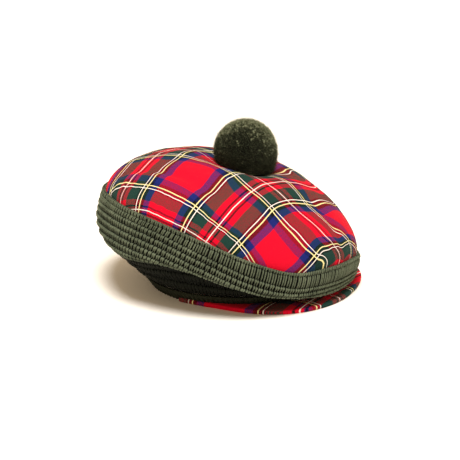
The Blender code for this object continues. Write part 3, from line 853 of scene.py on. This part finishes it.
# %% Knit the band
RIBS, RIB_STEPS, BAND_LEVELS = 120, 8, 21  # RIB_STEPS points to a rib and the gap beside it
RIB_HEIGHT, STITCH_HEIGHT, STITCH_PITCH = 0.7 * MM, 0.25 * MM, 2.4 * MM
band_bearing = bearings(RIBS * RIB_STEPS)
rib = np.cos(np.radians(band_bearing * RIBS))
slope = BAND_FLARE / BAND_HEIGHT
levels = np.linspace(0, BAND_HEIGHT, BAND_LEVELS)
outline = []
for height in levels:
    stitch = np.abs(np.cos(pi * height / STITCH_PITCH + np.sign(rib) * 0.6))
    ribbing = RIB_HEIGHT * np.abs(rib) ** 0.6 * np.sign(rib) + STITCH_HEIGHT * stitch
    reach = HEAD_RADIUS + slope * height - 0.55 * MM + ribbing
    outline.append(out(band_bearing) * reach[:, None] + UP * height)
for height in levels[::-5]:
    reach = HEAD_RADIUS + slope * height - KNIT_WALL + 0.45 * MM * (1 + rib)
    outline.append(out(band_bearing) * reach[:, None] + UP * height)
outline = np.array(outline)
faces = ring_faces(len(outline), len(band_bearing), closed=True)
# Painted shade: the band sits in the dark under the fold, so its olive wool gets much darker tones than
# the side's
rib_wool_painted_shade = wool("olive_rib_wool_painted_shade", "#141811", "#2C3122")
band = mesh_object("ribbed_band", outline.reshape(-1, 3), faces.tolist(), rib_wool_painted_shade)
places = grid_places(np.arange(len(outline)) * 0.6, np.arange(len(band_bearing)) / RIB_STEPS)
give_places(band.data, places, "yarn")
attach(band, "root")
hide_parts("head_band")

# %% [markdown]
# ## The peak
# The peak is a thin board covered in the same tartan, curved a little from root to edge. Its
# outline is a loft: one section of the covered board, scaled by the peak's depth at each bearing.

# %% The peak's outline
PEAK_DEPTH, PEAK_SPREAD, PEAK_WALL, PEAK_TIP, PEAK_CAMBER = 36.5 * MM, 88.0, 4.5 * MM, 1.6 * MM, 2.0 * MM
# From one end of the peak to the other, how much of its depth it has there
PEAK_AT = (-1, -.80, -.68, -.56, -.40, -.29, -.18, 0, .18, .28, .41, .55, .68, .82, .93, 1)
PEAK_OUT = (0, .02, .12, .35, .65, .79, .84, .86, .83, .84, .90, .98, .92, .58, .20, 0)
PEAK_ROWS, PEAK_STEPS = 32, 240
depth = np.interp(np.linspace(-1, 1, PEAK_ROWS + 1), PEAK_AT, PEAK_OUT)
depth[1:-1] = (depth[:-2] + 2 * depth[1:-1] + depth[2:]) / 4
fine = np.linspace(-1, 1, PEAK_STEPS + 1)
place = (fine + 1) / 2 * PEAK_ROWS
row = np.minimum(np.floor(place).astype(int), PEAK_ROWS - 1)
ends = np.concatenate(([depth[0]], depth, [depth[-1]]))
fine_depth = np.maximum(spline(*(ends[row + step] for step in range(4)), place - row), 0)
print("deepest part of the peak in mm:", round(fine_depth.max() * PEAK_DEPTH * 1000, 1))

# %% Cover the peak
def peak_section(depth):
    """The covered board's outline at one bearing, as reach and height, round from the lower root."""
    root = HEAD_RADIUS + 0.5 * MM + GAP
    root_top = root + slope * PEAK_WALL
    edge = root_top + PEAK_TIP + PEAK_DEPTH * depth
    camber = PEAK_CAMBER * depth
    half = PEAK_WALL / 2
    nose = half * 0.7
    turn = edge - nose
    across = np.linspace(0, 1, 20)
    lower = [(root + (turn - root) * t, camber * sin(pi * t)) for t in across]
    tip = [(turn + nose * sin(a), half - half * cos(a)) for a in np.linspace(0, pi, 9)[1:-1]]
    upper = [(turn + (root_top - turn) * t, PEAK_WALL + camber * sin(pi * t)) for t in across]
    return np.array(lower + tip + upper)


sections = np.array([peak_section(d) for d in fine_depth])
directions = out(fine * PEAK_SPREAD)
points = (directions[:, None] * sections[..., 0:1] + UP * sections[..., 1:2]).reshape(-1, 3)
count, size = sections.shape[:2]
faces = np.roll(ring_faces(count, size, closed=False)[:, ::-1], 1, axis=1).tolist()
faces += [tuple(reversed(range(size))), tuple((count - 1) * size + j for j in range(size))]
peak = mesh_object("covered_peak", points, faces, tartan)
TURNED, EASED, BOLT_X, BOLT_Y = radians(10), 0.94, 114, 72  # how the cloth lies on the peak, in mm
x, y = (points[:, :2] * 1000 * EASED).T
peak_places = np.stack((x * cos(TURNED) + y * sin(TURNED) + BOLT_X,
                        -x * sin(TURNED) + y * cos(TURNED) + BOLT_Y), axis=1)
give_places(peak.data, peak_places / SETT)
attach(peak, "root")
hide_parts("peak")

# %% [markdown]
# ## The pompom
# A pompom is wool wound round a card, tied in the middle, cut and clipped round. Its surface is the
# blunt ends of some thousands of yarns that point outward, with single hairs between them. So a
# core ball is covered with short blunt tufts, each with its own tone, and thin hairs over them.

# %% Wool for the pompom
# Cut ends drink in light and their tips glow a little, so the wool has a strong, tinted sheen
ball_wool, tree, shader = new_finish("cut_wool_ends", {
    "Roughness": 0.95, "IOR": KERATIN_IOR, "Specular IOR Level": 0.1,
    "Sheen Weight": 0.8, "Sheen Tint": linear("#B4BE96"), "Sheen Roughness": 0.35})
own_tone = add_node(tree, "ShaderNodeAttribute", attribute_name="tone")
spot = add_node(tree, "ShaderNodeTexCoord").outputs["Object"]
hairs = add_node(tree, NOISE, {"Vector": spot, "Scale": 1800.0, "Detail": 3.0})
patches = add_node(tree, NOISE, {"Vector": spot, "Scale": 45.0, "Detail": 2.0})
drift = add_node(tree, MATH, (patches, 0.5, -0.5), operation="MULTIPLY_ADD")
blend = add_node(tree, MATH, (hairs, 0.5, drift), operation="MULTIPLY_ADD")
level = add_node(tree, MATH, (own_tone.outputs["Fac"], blend), operation="ADD")
ends = add_node(tree, "ShaderNodeValToRGB", {"Fac": level})
ends.color_ramp.elements[0].color = linear("#040604")
ends.color_ramp.elements[1].color = linear("#858B70")
ends.color_ramp.elements.new(0.5).color = linear("#20271B")
bump = add_node(tree, "ShaderNodeBump", {"Height": hairs, "Strength": 0.5, "Distance": 0.0004})
fill(shader, {"Base Color": ends, "Normal": bump})
print("pompom wool dyed:", ball_wool.name)

# %% The ball's form
BALL, SINK = 66.8 * MM / 2, 7.8 * MM
BALL_MIDDLE = DOME_RISE - DIMPLE_DEPTH + BALL - SINK
SAG, SAG_TOWARD = 0.14, (0.17, -0.65, -0.74)  # it hangs over a little to the front
PAINTED_SHADE_TOWARD = (-0.62, -0.48, -0.62)  # painted shade: low on this side the ball is painted darker, and lighter on the far side
CLUMPS = 11.0  # clumps of tufts to the ball's radius


def even_directions(count):
    """Directions spread evenly over a ball, by the golden angle."""
    place = np.arange(count)
    height = 1 - 2 * (place + 0.5) / count
    wide, angle = np.sqrt(1 - height ** 2), place * pi * (3 - sqrt(5))
    return np.stack((wide * np.cos(angle), wide * np.sin(angle), height), axis=1)


def on_the_cap(points):
    """Lifts points of the ball that would sink into the dimple, then leans them with the crown."""
    toward = unit(points) @ np.array(SAG_TOWARD)
    points = points * (1 + SAG * np.clip(toward, 0, 1) ** 3)[:, None] + np.array((0, 0, BALL_MIDDLE))
    floor = top_height(norm(points[:, :2]) / CROWN_RADIUS) + 0.9 * MM
    points[:, 2] = np.maximum(points[:, 2], floor)
    return lean(points) + CROWN_MIDDLE


def tones_at(ways, middle, spread, painted_side_shade, low, high):
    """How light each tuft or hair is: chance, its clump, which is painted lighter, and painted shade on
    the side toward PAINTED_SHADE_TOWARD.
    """
    clumps = np.array([noise.noise(Vector(way) * CLUMPS) for way in ways])
    tone = random.normal(middle, spread, len(ways)) + 0.5 * clumps - painted_side_shade * ways @ PAINTED_SHADE_TOWARD
    return np.clip(tone, low, high)


print("ball middle over the seam's plane in mm:", round(BALL_MIDDLE * 1000, 1))

# %% [markdown]
# Five-sided tufts with a blunt end stand all over the ball. They bunch in clumps that reach out a
# little further, as in any hand-clipped pompom; clumps are painted lighter, hollows painted shade.

# %% Stand up the tufts
TUFTS, TUFT_SIDES, TUFT_ROOT = 5200, 5, 5 * MM
random = np.random.default_rng(5)
way = unit(even_directions(TUFTS) + random.normal(0, 0.012, (TUFTS, 3)))
aside = unit(np.cross(way, random.normal(size=(TUFTS, 3))))
other = np.cross(way, aside)
clump = np.array([noise.noise(Vector(w) * CLUMPS) for w in way])
reach = BALL - 1.1 * MM + (1.5 * clump - np.abs(random.normal(0, 0.5, TUFTS))) * MM
angle = np.arange(TUFT_SIDES) * 2 * pi / TUFT_SIDES
circle = aside[:, None] * np.cos(angle)[:, None] + other[:, None] * np.sin(angle)[:, None]
width = random.uniform(0.75, 1.05, (TUFTS, 1, 1)) * MM
roots = way[:, None] * (BALL - TUFT_ROOT) + circle * width * 0.7
tips = way[:, None] * (reach - 0.5 * MM)[:, None, None] + circle * width
caps = way[:, None] * reach[:, None, None]
tuft_points = np.concatenate((roots, tips, caps), axis=1)
per_tuft = tuft_points.shape[1]
pairs = [(j, (j + 1) % TUFT_SIDES) for j in range(TUFT_SIDES)]
tuft = [(j, k, TUFT_SIDES + k, TUFT_SIDES + j) for j, k in pairs]
tuft += [(TUFT_SIDES + j, TUFT_SIDES + k, 2 * TUFT_SIDES) for j, k in pairs]
tuft_faces = [tuple(v + i * per_tuft for v in face) for i in range(TUFTS) for face in tuft]
tuft_tone = np.repeat(tones_at(way, 0.50, 0.24, 0.76, 0.02, 0.98), per_tuft)
print("tufts:", TUFTS)

# %% [markdown]
# Thin hairs, each one triangle that leans its own way, break up the outline. Under all of it a
# plain ball, painted near black as shade between the tufts, closes the gaps. The three are joined
# into one piece and set down on the cap.

# %% Add the hairs and the core
HAIRS, HAIR_ROOT, HAIR_WIDE = 42000, 3.0 * MM, 0.09 * MM
way = unit(random.normal(size=(HAIRS, 3)))
leaning = way + random.normal(0, 0.22, (HAIRS, 3))
side = unit(np.cross(way, random.normal(size=(HAIRS, 3)))) * HAIR_WIDE
root = way * (BALL - HAIR_ROOT)
tip = root + leaning * random.uniform(2.2, 4.4, (HAIRS, 1)) * MM
hair_points = np.stack((root - side, root + side, tip), axis=1).reshape(-1, 3)
hair_tone = np.repeat(tones_at(way, 0.58, 0.32, 0.80, 0.05, 1.0), 3)
core = bmesh.new()
bmesh.ops.create_icosphere(core, subdivisions=5, radius=BALL - 2.6 * MM)
core_points = np.array([tuple(v.co) for v in core.verts])
core_faces = [tuple(v.index for v in face.verts) for face in core.faces]
core.free()
tuft_start = len(core_points)
hair_start = tuft_start + TUFTS * per_tuft
all_points = on_the_cap(np.vstack((core_points, tuft_points.reshape(-1, 3), hair_points)))
all_faces = core_faces + [tuple(v + tuft_start for v in face) for face in tuft_faces]
all_faces += [(v, v + 1, v + 2) for v in range(hair_start, hair_start + 3 * HAIRS, 3)]
ball = mesh_object("wool_pompom", all_points, all_faces, ball_wool, smooth=False)
# The core's tone of zero paints it near black: painted shade in the gaps between tufts
keep_value(ball.data, "tone", np.concatenate((np.zeros(len(core_points)), tuft_tone - 0.1, hair_tone)))
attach(ball, "root")
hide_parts("pompom")
